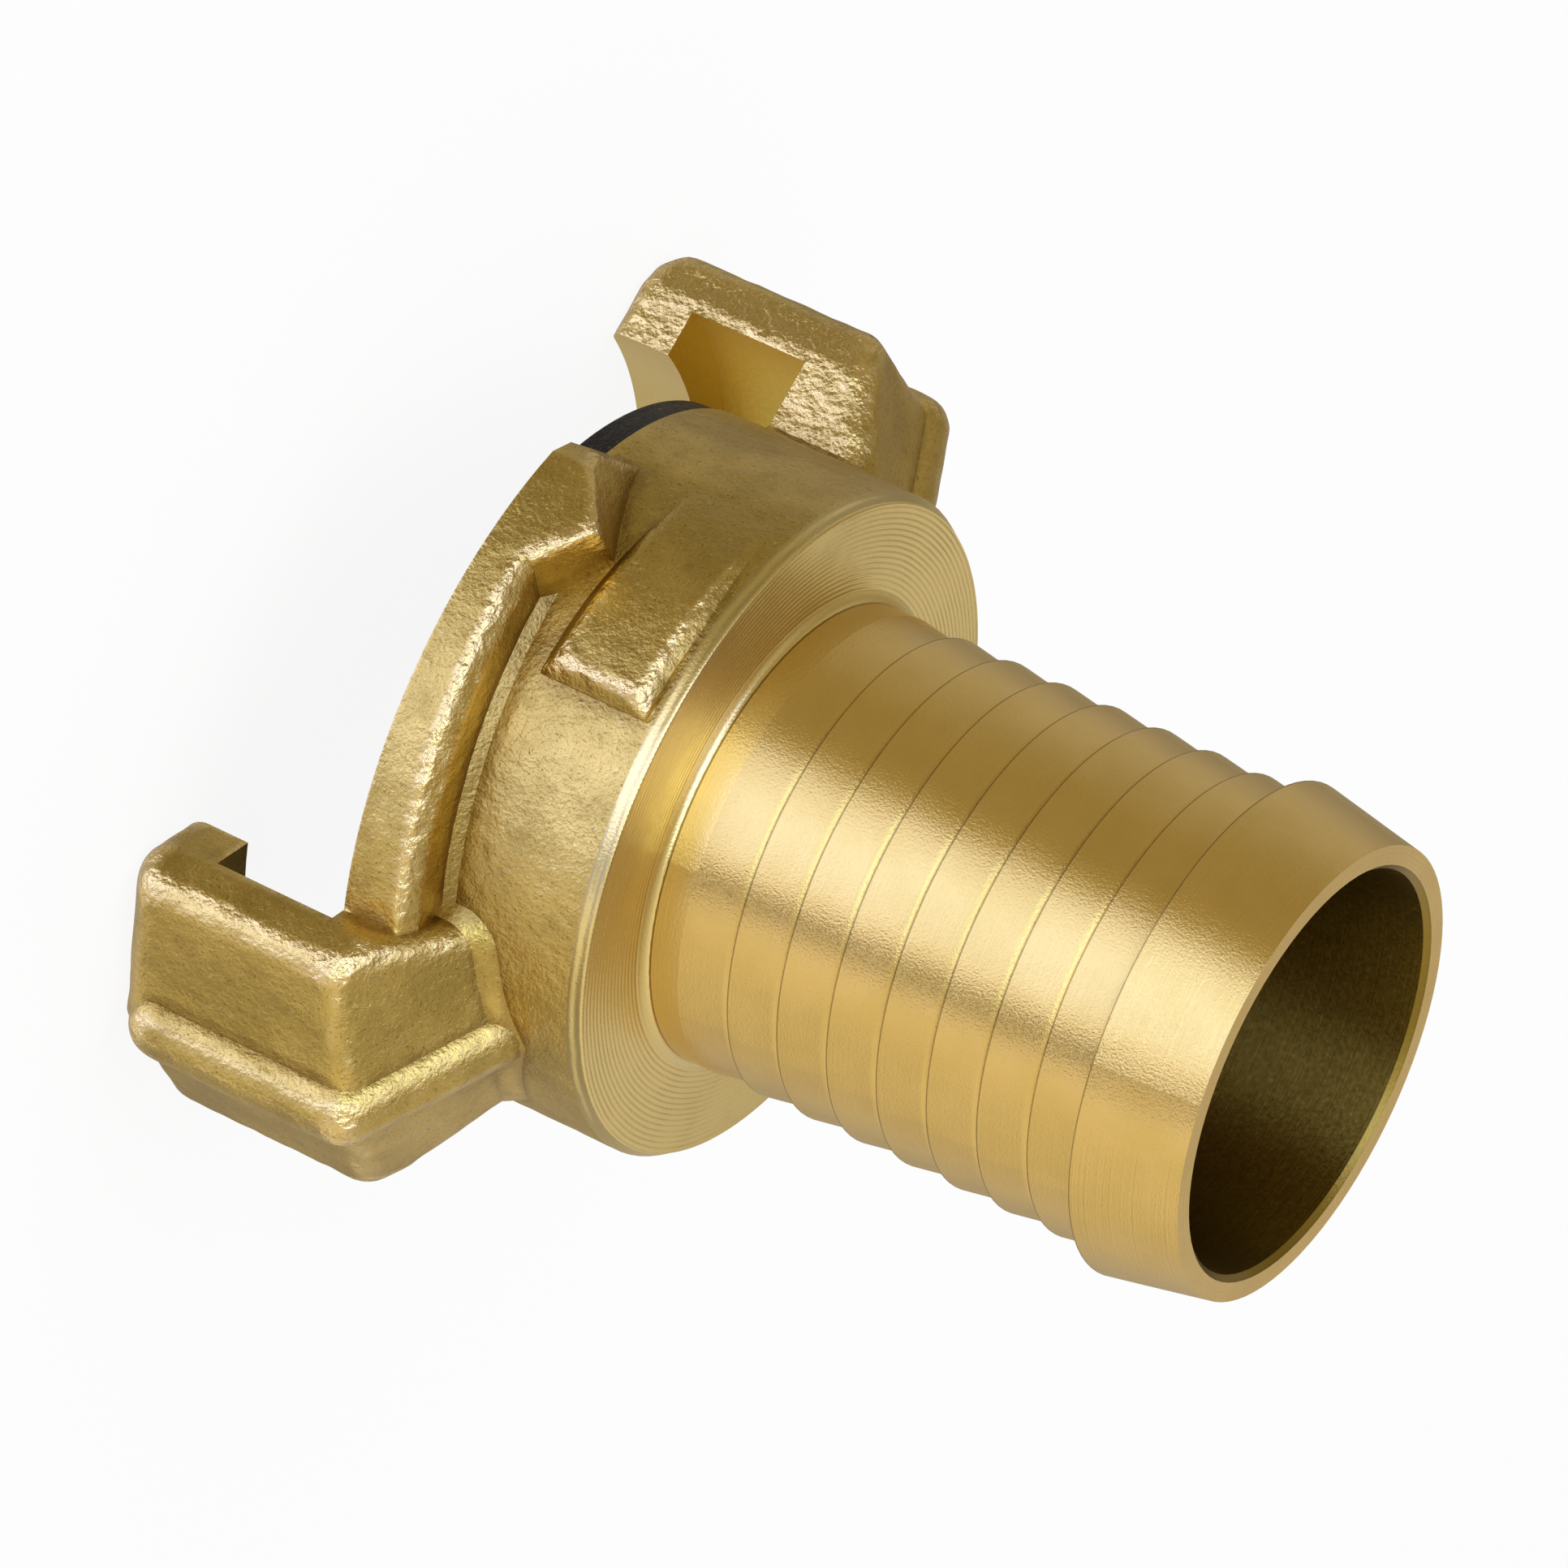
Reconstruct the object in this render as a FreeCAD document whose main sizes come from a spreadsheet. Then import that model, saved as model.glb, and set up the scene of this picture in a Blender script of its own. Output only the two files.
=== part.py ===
import FreeCAD, Part
import math
import os

import Sketcher
from FreeCAD import Placement, Rotation, Vector

# Claw coupling with a barbed hose tail, millimetres.
# The axis of the bore is Z. The two claw tips stand on z = 0 and the hose tail points up.
# The claws lie along +X and -X, and everything forged is repeated by half a turn about Z.

os.makedirs("parts", exist_ok=True)
doc = FreeCAD.newDocument("ClawCoupling")

# Driving dimensions
sheet = doc.addObject("Spreadsheet::Sheet", "Dims")
DIMENSIONS = [
    # the interface that mates with a second coupling
    ("claw_spacing", 40.0, "between the inner faces of the two lips"),
    ("recess_diameter", 45.2, "turned recess behind the lips"),
    ("lip_thickness", 3.8, "lip of a claw, along the axis"),
    ("claw_reach", 10.8, "front face of the head to the claw tips"),
    # forged claw
    ("claw_wall", 4.1, "wall of a claw at its parting ridge, outside the recess"),
    ("claw_width", 17.0, "widest part of a claw"),
    ("claw_side_angle", 21.5, "half the sector that a claw fills, degrees"),
    ("claw_draft_rim", 18.0, "draft of the flank on the cam rim's side, degrees"),
    ("claw_draft_open", 15.0, "draft of the other flank, degrees"),
    ("claw_bend_radius", 1.8, "bend between bar and arm"),
    ("claw_edge_radius", 1.4, "rounding along the outlines of the sides"),
    ("claw_nose_radius", 2.1, "rounding between tip and flanks"),
    ("claw_foot_bevel", 0.7, "bevel between claw and head"),
    ("arm_setback", 4.1, "collar face to the arm's ridge, at the body"),
    ("arm_slope", 25.0, "lean of the arm's back towards the tips, degrees"),
    ("bead_diameter", 3.9, "round bead along the parting ridge"),
    ("bead_rise", 0.9, "bead's crest above the ridge of the bar"),
    ("bead_rise_arm", 0.5, "bead's crest above the ridge of the arm"),
    ("bead_gap", 0.8, "tip face to the bead's end"),
    # head
    ("body_diameter", 36.2, "forged head"),
    ("head_length", 11.9, "front face to collar face"),
    ("collar_edge_width", 0.45, "turned edge of the collar, across"),
    ("collar_edge_height", 0.7, "turned edge of the collar, along the axis"),
    # cam rim
    ("rim_diameter", 43.2, "cam rim"),
    ("rim_thickness", 3.9, "cam rim where it starts inside a claw"),
    ("cam_start_angle", 15.0, "from the middle of the claw, degrees"),
    ("cam_end_angle", 77.0, "end of the cam ramp, degrees"),
    ("cam_drop", 1.25, "thickness lost along the cam ramp"),
    ("tooth_start", 5.2, "foot of the end tooth's rise, from the plane square to the claws"),
    ("tooth_peak", 2.6, "the tooth's peak at the rim, from that plane"),
    ("tooth_height", 4.87, "peak above the front face, at the rim"),
    ("tooth_end", 1.5, "end of the rim beyond that plane"),
    ("tooth_foot", 1.6, "top of the end above the front face, at the rim"),
    ("tooth_root_depth", 5.6, "the tooth's inner section, in from the rim"),
    ("tooth_root_peak", 0.9, "peak at the inner section"),
    ("tooth_root_height", 4.6, "height at the inner section"),
    ("tooth_root_end", 5.7, "end at the inner section"),
    ("tooth_root_foot", 2.2, "top of the end at the inner section"),
    ("rim_edge_width", 1.0, "bevel at the rim's back, across"),
    ("rim_edge_height", 0.6, "bevel at the rim's back, along the axis"),
    ("rim_end_bevel", 0.9, "bevel at the rim's end"),
    ("rim_root_bevel", 0.5, "bevel between rim and head"),
    # raised grip pad
    ("pad_offset", 1.64, "pad's own axis from the bore axis"),
    ("pad_offset_angle", 18.0, "side to which the pad's axis lies, degrees"),
    ("pad_start_angle", 67.5, "steep end of the pad, about its own axis, degrees"),
    ("pad_sweep", 50.5, "pad, about its own axis, degrees"),
    ("pad_setback", 1.0, "collar face to the pad's end"),
    ("pad_length", 5.5, "pad, along the axis"),
    ("pad_edge", 0.7, "bevel round the pad"),
    ("pad_end_bevel", 0.8, "bevel of the steep end"),
    # hose tail
    ("tail_diameter", 25.0, "barb crests"),
    ("barb_start", 2.1, "plain land beside the collar"),
    ("barb_count", 8, "ramps between collar and end barb"),
    ("barb_pitch", 2.95, "one ramp"),
    ("barb_depth", 0.5, "fall of a ramp, radial"),
    ("end_barb_rise", 0.8, "crest of the end barb above the others, radial"),
    ("end_barb_length", 5.6, "cone of the end barb"),
    ("tail_wall", 1.65, "wall from the bore to the barb crests"),
    ("mouth_wall", 1.35, "wall at the tail's mouth"),
    ("mouth_edge", 0.3, "bevel at the bore's mouth"),
    # seal seat
    ("seat_diameter", 30.6, "counterbore for the seal"),
    ("seat_depth", 4.2, "counterbore, along the axis"),
    ("seat_groove_diameter", 32.6, "undercut that keeps the seal in"),
    ("seat_groove_width", 1.6, "undercut, along the axis"),
    # seal ring
    ("seal_clearance", 0.1, "seal to the walls of its seat"),
    ("seal_flange_diameter", 35.8, "flange on the front face"),
    ("seal_flange_thickness", 1.6, "flange, along the axis"),
    ("seal_lip_diameter", 28.0, "crest of the sealing lip"),
    ("seal_lip_height", 2.7, "crest of the lip from the head's front face"),
    ("seal_lip_width", 1.2, "flat crest of the lip"),
    ("seal_lip_foot", 3.2, "foot of the lip on the flange"),
    ("seal_bore_diameter", 23.0, "opening of the seal"),
]
for row, (alias, value, note) in enumerate(DIMENSIONS, start=1):
    sheet.set(f"A{row}", alias)
    sheet.set(f"B{row}", str(value))
    sheet.set(f"C{row}", note)
    sheet.setAlias(f"B{row}", alias)
doc.recompute()

# Heights above the claw tips and radii that several features share
FRONT = "Dims.claw_reach"
COLLAR = "(Dims.claw_reach + Dims.head_length)"
BARBS = f"({COLLAR} + Dims.barb_start)"
END_BARB = f"({BARBS} + Dims.barb_count * Dims.barb_pitch)"
MOUTH = f"({END_BARB} + Dims.end_barb_length)"
BODY_R = "Dims.body_diameter / 2"
TAIL_R = "Dims.tail_diameter / 2"
LIP_R = "Dims.claw_spacing / 2"
RECESS_R = "Dims.recess_diameter / 2"
RIM_R = "Dims.rim_diameter / 2"
RIDGE = f"({RECESS_R} + Dims.claw_wall)"
BORE_R = f"({TAIL_R} - Dims.tail_wall)"
HALF_WIDTH = "(Dims.claw_width / 2)"
SIDE_CORNER = f"({HALF_WIDTH} / tan(Dims.claw_side_angle))"
ARM_AT_BODY = f"({COLLAR} - Dims.arm_setback)"
BEAD_R = "Dims.bead_diameter / 2"
BEAD_X = f"({RIDGE} + Dims.bead_rise - {BEAD_R})"
BEAD_LOW = f"(Dims.bead_gap + {BEAD_R})"
# The centre lines of the two beads meet where the arm's, sunk below its crest, crosses the bar's
BEAD_SUNK = f"({ARM_AT_BODY} + (Dims.bead_rise_arm - {BEAD_R}) / cos(Dims.arm_slope))"
BEAD_TOP = f"({BEAD_SUNK} - ({BEAD_X} - {BODY_R}) * tan(Dims.arm_slope))"
CAM_TOP = f"({FRONT} + Dims.rim_thickness)"
CAM_END = f"({CAM_TOP} - Dims.cam_drop)"
PAD_TOP = f"({COLLAR} - Dims.pad_setback)"
PAD_LOW = f"({PAD_TOP} - Dims.pad_length)"
RAMP_END = f"({BARBS} + Dims.barb_pitch)"
SEAT_R = "Dims.seat_diameter / 2"
SEAT_GROOVE_R = "Dims.seat_groove_diameter / 2"
SEAT_FLOOR = f"({FRONT} + Dims.seat_depth)"
SEAT_GROOVE = f"({SEAT_FLOOR} - Dims.seat_groove_width)"
SEAL_BORE_R = "Dims.seal_bore_diameter / 2"
LIP_CREST_R = "Dims.seal_lip_diameter / 2"

# Axis of a sketch on the XZ plane that turns it clockwise, seen from the tail
CLOCKWISE = Vector(0, -1, 0)
# Room that a cutting outline has beyond the stock that it cuts
SPARE = "10"
# Depth to which rims, pads and beads reach into the head, and rims past its front before that is turned
ROOT = "3"
ROOT_R = f"({BODY_R} - {ROOT})"
RIM_LOW = f"({FRONT} - {ROOT})"
# Turn of the blank's outline, so that its seam lies between claw and cam tooth
BLANK_TURN = "40"
# Sector over which the rim's outside is turned: from before the tooth to past the rim's end
TRIM_LEAD = "10"
TRIM_SECTOR = "60"
# Two points or heights this close are the same
NEAR = 0.01
# Least volume that a feature has to add or take away
LEAST_CHANGE = 0.5


def value_of(expression):
    """The number that an expression of the sheet gives now."""
    return float(sheet.evalExpression(expression))


def origin_item(body, role):
    """A plane or axis of the body's own origin, by its role."""
    return next(item for item in body.Origin.OriginFeatures if item.Role == role)


def new_body(label):
    body = doc.addObject("PartDesign::Body", label)
    body.Label = label
    return body


def new_sketch(body, name, role, axis=None, turn="0", base=("0", "0", "0")):
    """A sketch on an origin plane, which may be turned about an axis of its own and moved."""
    sketch = body.newObject("Sketcher::SketchObject", name)
    sketch.AttachmentSupport = [(origin_item(body, role), "")]
    sketch.MapMode = "FlatFace"
    if axis:
        sketch.AttachmentOffset = Placement(Vector(), Rotation(axis, value_of(turn)))
        sketch.setExpression("AttachmentOffset.Rotation.Angle", turn)
    for letter, expression in zip("xyz", base):
        if expression != "0":
            sketch.setExpression(f"AttachmentOffset.Base.{letter}", expression)
    return sketch


def pin_point(sketch, geometry, place, name, expressions):
    """Dimensions one point of a sketch from the origin, across and up."""
    for axis, expression in zip("XY", expressions):
        if expression == "0":
            origin_axis = -2 if axis == "X" else -1
            sketch.addConstraint(Sketcher.Constraint("PointOnObject", geometry, place, origin_axis))
            continue
        value = value_of(expression)
        ends = (-1, 1, geometry, place) if value > 0 else (geometry, place, -1, 1)
        index = sketch.addConstraint(Sketcher.Constraint(f"Distance{axis}", *ends, abs(value)))
        title = f"{name}_{'across' if axis == 'X' else 'up'}"
        sketch.renameConstraint(index, title)
        sketch.setExpression(f"Constraints.{title}", expression if value > 0 else f"-({expression})")


def outline(sketch, corners):
    """Closes an outline through named corners: (name, across, up) or (name, across, up, corner radius)."""
    spots = [Vector(value_of(corner[1]), value_of(corner[2]), 0) for corner in corners]
    count = len(corners)
    entries, exits, rounds = [], [], {}
    for i, corner in enumerate(corners):
        back = (spots[i - 1] - spots[i]).normalize()
        ahead = (spots[(i + 1) % count] - spots[i]).normalize()
        cut = 0.0
        if len(corner) == 4:
            radius = value_of(corner[3])
            half = back.getAngle(ahead) / 2
            cut = radius / math.tan(half)
            centre = spots[i] + (back + ahead).normalize() * (radius / math.sin(half))
            rounds[i] = (centre, radius, back.cross(ahead).z < 0)
        entries.append(spots[i] + back * cut)
        exits.append(spots[i] + ahead * cut)
    sides = [sketch.addGeometry(Part.LineSegment(exits[i], entries[(i + 1) % count])) for i in range(count)]
    for i, corner in enumerate(corners):
        before, after = sides[i - 1], sides[i]
        if i not in rounds:
            sketch.addConstraint(Sketcher.Constraint("Coincident", before, 2, after, 1))
            pin_point(sketch, after, 1, corner[0], corner[1:3])
            continue
        centre, radius, left_turn = rounds[i]
        first, last = (entries[i], exits[i]) if left_turn else (exits[i], entries[i])
        angles = [math.atan2(end.y - centre.y, end.x - centre.x) for end in (first, last)]
        arc = sketch.addGeometry(Part.ArcOfCircle(Part.Circle(centre, Vector(0, 0, 1), radius), *angles))
        point = sketch.addGeometry(Part.Point(spots[i]), True)
        pin_point(sketch, point, 1, corner[0], corner[1:3])
        for side in (before, after):
            sketch.addConstraint(Sketcher.Constraint("PointOnObject", point, 1, side))
        ends = (1, 2) if left_turn else (2, 1)
        sketch.addConstraint(Sketcher.Constraint("Tangent", before, 2, arc, ends[0]))
        sketch.addConstraint(Sketcher.Constraint("Tangent", after, 1, arc, ends[1]))
        index = sketch.addConstraint(Sketcher.Constraint("Radius", arc, radius))
        sketch.renameConstraint(index, f"{corner[0]}_radius")
        sketch.setExpression(f"Constraints.{corner[0]}_radius", corner[3])


def turned(body, kind, name, sketch, angle="360"):
    """A Revolution or Groove of a sketch about the bore axis."""
    feature = body.newObject(f"PartDesign::{kind}", name)
    feature.Profile = sketch
    feature.ReferenceAxis = (origin_item(body, "Z_Axis"), [""])
    feature.setExpression("Angle", angle)
    return feature


def settle(body, feature):
    """Makes the feature the body's last one, and stops if it adds or cuts nothing."""
    body.Tip = feature
    doc.recompute()
    change = feature.Shape.Volume
    if feature.BaseFeature:
        change -= feature.BaseFeature.Shape.Volume
    kind = feature.TypeId.split("::")[1]
    if kind in ("Pocket", "Groove", "LinearPattern"):
        change = -change
    elif kind in ("Fillet", "Chamfer"):
        change = abs(change)
    if change < LEAST_CHANGE:
        raise SystemExit(f"{feature.Name} changes the body by only {change:.2f} mm3")
    return feature


def edges_where(feature, test):
    """Names of the feature's edges that pass a test."""
    return [f"Edge{i}" for i, edge in enumerate(feature.Shape.Edges, start=1) if test(edge)]


def dressed(body, kind, name, base, size_name, size, test):
    """A Fillet or Chamfer on the edges of the last feature that pass a test."""
    feature = body.newObject(f"PartDesign::{kind}", name)
    feature.Base = (base, edges_where(base, test))
    feature.setExpression(size_name, size)
    return settle(body, feature)


def helix_ramp(body, name, start_angle, end_angle, rise, corners):
    """A rim section swept round the head towards negative angles while it climbs or falls."""
    sketch = new_sketch(body, f"{name}Section", "XZ_Plane", CLOCKWISE, start_angle)
    outline(sketch, corners)
    ramp = body.newObject("PartDesign::AdditiveHelix", name)
    ramp.Profile = sketch
    ramp.ReferenceAxis = (origin_item(body, "Z_Axis"), [""])
    ramp.Mode = "height-turns-angle"
    falling = value_of(rise) < 0
    ramp.LeftHanded = not falling
    ramp.Reversed = falling
    ramp.setExpression("Height", f"abs({rise})")
    ramp.setExpression("Turns", f"({end_angle} - {start_angle}) / 360")
    return settle(body, ramp)


def middle(edge):
    return edge.valueAt((edge.FirstParameter + edge.LastParameter) / 2)


def reach(spot):
    """Distance of a point from the bore axis."""
    return math.hypot(spot.x, spot.y)


def upright(edge):
    box = edge.BoundBox
    return box.ZLength > NEAR and max(box.XLength, box.YLength) < NEAR


def on_flank(spot):
    """Whether a point of the claw's block lies outside the recess and between ridge and side edges."""
    return spot.x > value_of(RECESS_R) and NEAR < abs(spot.y) < value_of(HALF_WIDTH) - NEAR


def on_flank_bend(edge):
    """One of the two edges between the flanks of the bar and of the arm."""
    spot = middle(edge)
    return on_flank(spot) and spot.z > value_of("Dims.lip_thickness")


def on_nose(edge):
    """One of the two edges between the tip and the flanks."""
    spot = middle(edge)
    return on_flank(spot) and abs(spot.z) < NEAR


def in_claw_sector(spot):
    return abs(spot.y) < spot.x * math.tan(math.radians(value_of("Dims.claw_side_angle"))) + NEAR


def on_side_outline(edge):
    """An edge round a side of the claw, the corner line between both parts of the side left out."""
    spot = middle(edge)
    side = min(value_of(HALF_WIDTH), spot.x * math.tan(math.radians(value_of("Dims.claw_side_angle"))))
    corner_line = upright(edge) and spot.x < value_of(RECESS_R)
    return abs(abs(spot.y) - side) < NEAR < spot.x and not corner_line


def on_claw_foot(edge):
    """An edge where a claw meets the head."""
    first, last = edge.FirstParameter, edge.LastParameter
    spots = [edge.valueAt(first + (last - first) * step / 4) for step in range(5)]
    on_head = all(abs(reach(spot) - value_of(BODY_R)) < NEAR for spot in spots)
    return on_head and all(in_claw_sector(spot) for spot in spots) and spots[2].z > value_of(FRONT) + NEAR


def on_rim_end(edge):
    """The rim's outer upright edge at its end."""
    spot = middle(edge)
    return upright(edge) and abs(reach(spot) - value_of(RIM_R)) < NEAR and spot.x < 0 and spot.y < 0


def on_pad_end(edge):
    """The pad's outer upright edge at its steep end."""
    spot = middle(edge)
    level = value_of(f"({PAD_LOW} + {PAD_TOP} - Dims.pad_edge) / 2")
    raised = reach(spot) > value_of(BODY_R) + NEAR and abs(spot.z - level) < NEAR
    return upright(edge) and raised and spot.y < 0 < spot.x


def ball(name, height):
    """A ball of the bead's thickness on the centre line of the bar's bead."""
    feature = coupling.newObject("PartDesign::AdditiveSphere", name)
    feature.AttachmentSupport = [(origin_item(coupling, "XY_Plane"), "")]
    feature.MapMode = "FlatFace"
    feature.setExpression("AttachmentOffset.Base.x", BEAD_X)
    feature.setExpression("AttachmentOffset.Base.z", height)
    feature.setExpression("Radius", BEAD_R)
    return settle(coupling, feature)


def rod(name, sketch, length, towards_axis=False):
    """A rod of the bead's thickness, from the middle of an empty sketch."""
    circle = sketch.addGeometry(Part.Circle(Vector(), Vector(0, 0, 1), value_of(BEAD_R)))
    sketch.addConstraint(Sketcher.Constraint("Coincident", circle, 3, -1, 1))
    index = sketch.addConstraint(Sketcher.Constraint("Radius", circle, value_of(BEAD_R)))
    sketch.renameConstraint(index, "radius")
    sketch.setExpression("Constraints.radius", BEAD_R)
    feature = coupling.newObject("PartDesign::Pad", name)
    feature.Profile = sketch
    feature.setExpression("Length", length)
    feature.Reversed = towards_axis
    return settle(coupling, feature)


def rim_section(top, across, down):
    """Corners of the rim's section: its back face at a height, with a bevel outside and one at the root."""
    return [
        ("low_inner", ROOT_R, RIM_LOW),
        ("low_outer", RIM_R, RIM_LOW),
        ("bevel_low", RIM_R, f"{top} - {down}"),
        ("bevel_high", f"{RIM_R} - {across}", top),
        ("root_low", f"{BODY_R} + Dims.rim_root_bevel", top),
        ("root_high", f"{BODY_R} - Dims.rim_root_bevel", f"{top} + 2 * Dims.rim_root_bevel"),
        ("root_inner", ROOT_R, f"{top} + 2 * Dims.rim_root_bevel"),
    ]


def tooth_section(name, inward, peak, height, end, foot):
    """Outline of the end tooth as seen along -Y, on a plane at a distance inside the rim."""
    sketch = new_sketch(coupling, name, "XZ_Plane", base=("0", "0", f"{RIM_R} - {inward}"))
    outline(sketch, [
        ("start_low", "Dims.tooth_start", RIM_LOW),
        ("start", "Dims.tooth_start", CAM_END),
        ("peak", peak, f"{FRONT} + {height}"),
        ("end", f"-{end}", f"{FRONT} + {foot}"),
        ("end_low", f"-{end}", RIM_LOW),
    ])
    return sketch


coupling = new_body("coupling_body")

# Claw: a drafted block whose plan is one sector with a parting ridge in the middle
plan_sketch = new_sketch(coupling, "ClawPlan", "XY_Plane")
outline(plan_sketch, [
    ("centre", "0", "0"),
    ("rim_side", SIDE_CORNER, f"-{HALF_WIDTH}"),
    ("rim_edge", f"{RIDGE} - {HALF_WIDTH} * tan(Dims.claw_draft_rim)", f"-{HALF_WIDTH}"),
    ("ridge", RIDGE, "0"),
    ("open_edge", f"{RIDGE} - {HALF_WIDTH} * tan(Dims.claw_draft_open)", HALF_WIDTH),
    ("open_side", SIDE_CORNER, HALF_WIDTH),
])
block = coupling.newObject("PartDesign::Pad", "ClawBlock")
block.Profile = plan_sketch
block.setExpression("Length", COLLAR)
settle(coupling, block)

# Back of the arm: leans towards the tips, with the same draft on both sides of the ridge
back_sketch = new_sketch(coupling, "ArmBack", "YZ_Plane", Vector(1, 0, 0), "Dims.arm_slope",
                         ("0", ARM_AT_BODY, BODY_R))
outline(back_sketch, [
    ("ridge", "0", "0"),
    ("open_low", SPARE, f"-{SPARE} * tan(Dims.claw_draft_open)"),
    ("open_high", SPARE, f"2 * {SPARE}"),
    ("rim_high", f"-{SPARE}", f"2 * {SPARE}"),
    ("rim_low", f"-{SPARE}", f"-{SPARE} * tan(Dims.claw_draft_rim)"),
])
back = coupling.newObject("PartDesign::Pocket", "ArmBackCut")
back.Profile = back_sketch
back.Type = "ThroughAll"
back.SideType = "Symmetric"
settle(coupling, back)

bend = dressed(coupling, "Fillet", "ClawBend", back, "Radius", "Dims.claw_bend_radius", on_flank_bend)
nose = dressed(coupling, "Fillet", "ClawNose", bend, "Radius", "Dims.claw_nose_radius", on_nose)
sides = dressed(coupling, "Fillet", "ClawEdges", nose, "Radius", "Dims.claw_edge_radius", on_side_outline)

# Turned blank: head, collar and hose tail in one
blank_sketch = new_sketch(coupling, "BlankOutline", "XZ_Plane", CLOCKWISE, BLANK_TURN)
outline(blank_sketch, [
    ("axis_front", "0", FRONT),
    ("head_front", BODY_R, FRONT),
    ("collar_edge_low", BODY_R, f"{COLLAR} - Dims.collar_edge_height"),
    ("collar_edge_high", f"{BODY_R} - Dims.collar_edge_width", COLLAR),
    ("tail_root", TAIL_R, COLLAR),
    ("tail_top", TAIL_R, END_BARB),
    ("end_barb_crest", f"{TAIL_R} + Dims.end_barb_rise", END_BARB),
    ("mouth_outer", f"{BORE_R} + Dims.mouth_wall", MOUTH),
    ("axis_mouth", "0", MOUTH),
])
blank = settle(coupling, turned(coupling, "Revolution", "TurnedBlank", blank_sketch))
dressed(coupling, "Chamfer", "ClawFoot", blank, "Size", "Dims.claw_foot_bevel", on_claw_foot)

# Bead: two round rods along the parting ridge of bar and arm, with a ball at the end and at the bend
ball("BeadEnd", BEAD_LOW)
ball("BeadBend", BEAD_TOP)
bar_section = new_sketch(coupling, "BeadBarSection", "XY_Plane", base=(BEAD_X, "0", BEAD_LOW))
rod("BeadBar", bar_section, f"{BEAD_TOP} - {BEAD_LOW}")
arm_section = new_sketch(coupling, "BeadArmSection", "YZ_Plane", Vector(1, 0, 0), "Dims.arm_slope",
                         ("0", BEAD_TOP, BEAD_X))
rod("BeadArm", arm_section, f"({BEAD_X} - {ROOT_R}) / cos(Dims.arm_slope)", True)

# Cam rim: from inside the claw round to its tooth, then the tooth's two slopes
cam = helix_ramp(coupling, "CamRim", "Dims.cam_start_angle", "Dims.cam_end_angle", "-Dims.cam_drop",
                 rim_section(CAM_TOP, "Dims.rim_edge_width", "Dims.rim_edge_height"))

tooth = coupling.newObject("PartDesign::AdditiveLoft", "EndTooth")
tooth.Profile = tooth_section("ToothAtRim", "0", "Dims.tooth_peak", "Dims.tooth_height", "Dims.tooth_end",
                              "Dims.tooth_foot")
tooth.Sections = [tooth_section("ToothAtRoot", "Dims.tooth_root_depth", "Dims.tooth_root_peak",
                                "Dims.tooth_root_height", "Dims.tooth_root_end", "Dims.tooth_root_foot")]
tooth.Ruled = True
settle(coupling, tooth)

# The rim's round outside, cut over the tooth as well
trim_sketch = new_sketch(coupling, "RimTrim", "XZ_Plane", CLOCKWISE, f"(Dims.cam_end_angle - {TRIM_LEAD})")
outline(trim_sketch, [
    ("low_inner", RIM_R, f"{RIM_LOW} - {SPARE}"),
    ("low_outer", f"{RIM_R} + {SPARE}", f"{RIM_LOW} - {SPARE}"),
    ("high_outer", f"{RIM_R} + {SPARE}", COLLAR),
    ("high_inner", RIM_R, COLLAR),
])
trim = turned(coupling, "Groove", "RimOutside", trim_sketch, TRIM_SECTOR)
trim.Reversed = True
settle(coupling, trim)
rim_end = dressed(coupling, "Chamfer", "RimEnd", trim, "Size", "Dims.rim_end_bevel", on_rim_end)

# Grip pad: turned about an axis of its own, so that it runs out flush with the head
pad_sketch = new_sketch(coupling, "PadSection", "XZ_Plane", CLOCKWISE, "Dims.pad_start_angle",
                        ("Dims.pad_offset * cos(Dims.pad_offset_angle)", "0",
                         "Dims.pad_offset * sin(Dims.pad_offset_angle)"))
outline(pad_sketch, [
    ("low_inner", ROOT_R, f"{PAD_LOW} - Dims.pad_edge"),
    ("low_foot", f"{BODY_R} - Dims.pad_edge", f"{PAD_LOW} - Dims.pad_edge"),
    ("low_edge", BODY_R, PAD_LOW),
    ("high_edge", BODY_R, f"{PAD_TOP} - Dims.pad_edge"),
    ("high_foot", f"{BODY_R} - Dims.pad_edge", PAD_TOP),
    ("high_inner", ROOT_R, PAD_TOP),
])
pad = coupling.newObject("PartDesign::Revolution", "GripPad")
pad.Profile = pad_sketch
pad.ReferenceAxis = (pad_sketch, ["V_Axis"])
pad.Reversed = True
pad.setExpression("Angle", "Dims.pad_sweep")
settle(coupling, pad)
pad = dressed(coupling, "Chamfer", "PadEnd", pad, "Size", "Dims.pad_end_bevel", on_pad_end)

# The forged half repeated by half a turn
pair = coupling.newObject("PartDesign::PolarPattern", "TwoClaws")
pair.TransformMode = "Whole shape"
pair.Axis = (origin_item(coupling, "Z_Axis"), [""])
pair.Angle = 360
pair.Occurrences = 2
settle(coupling, pair)

# Turned mating side: inner faces of the lips, recess behind them, front faces of head and rims
turning_sketch = new_sketch(coupling, "MatingOutline", "XZ_Plane")
outline(turning_sketch, [
    ("axis_low", "0", f"-{SPARE}"),
    ("lip_low", LIP_R, f"-{SPARE}"),
    ("lip_high", LIP_R, "Dims.lip_thickness"),
    ("recess_low", RECESS_R, "Dims.lip_thickness"),
    ("recess_high", RECESS_R, FRONT),
    ("axis_front", "0", FRONT),
])
mating = settle(coupling, turned(coupling, "Groove", "MatingSide", turning_sketch))

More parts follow.
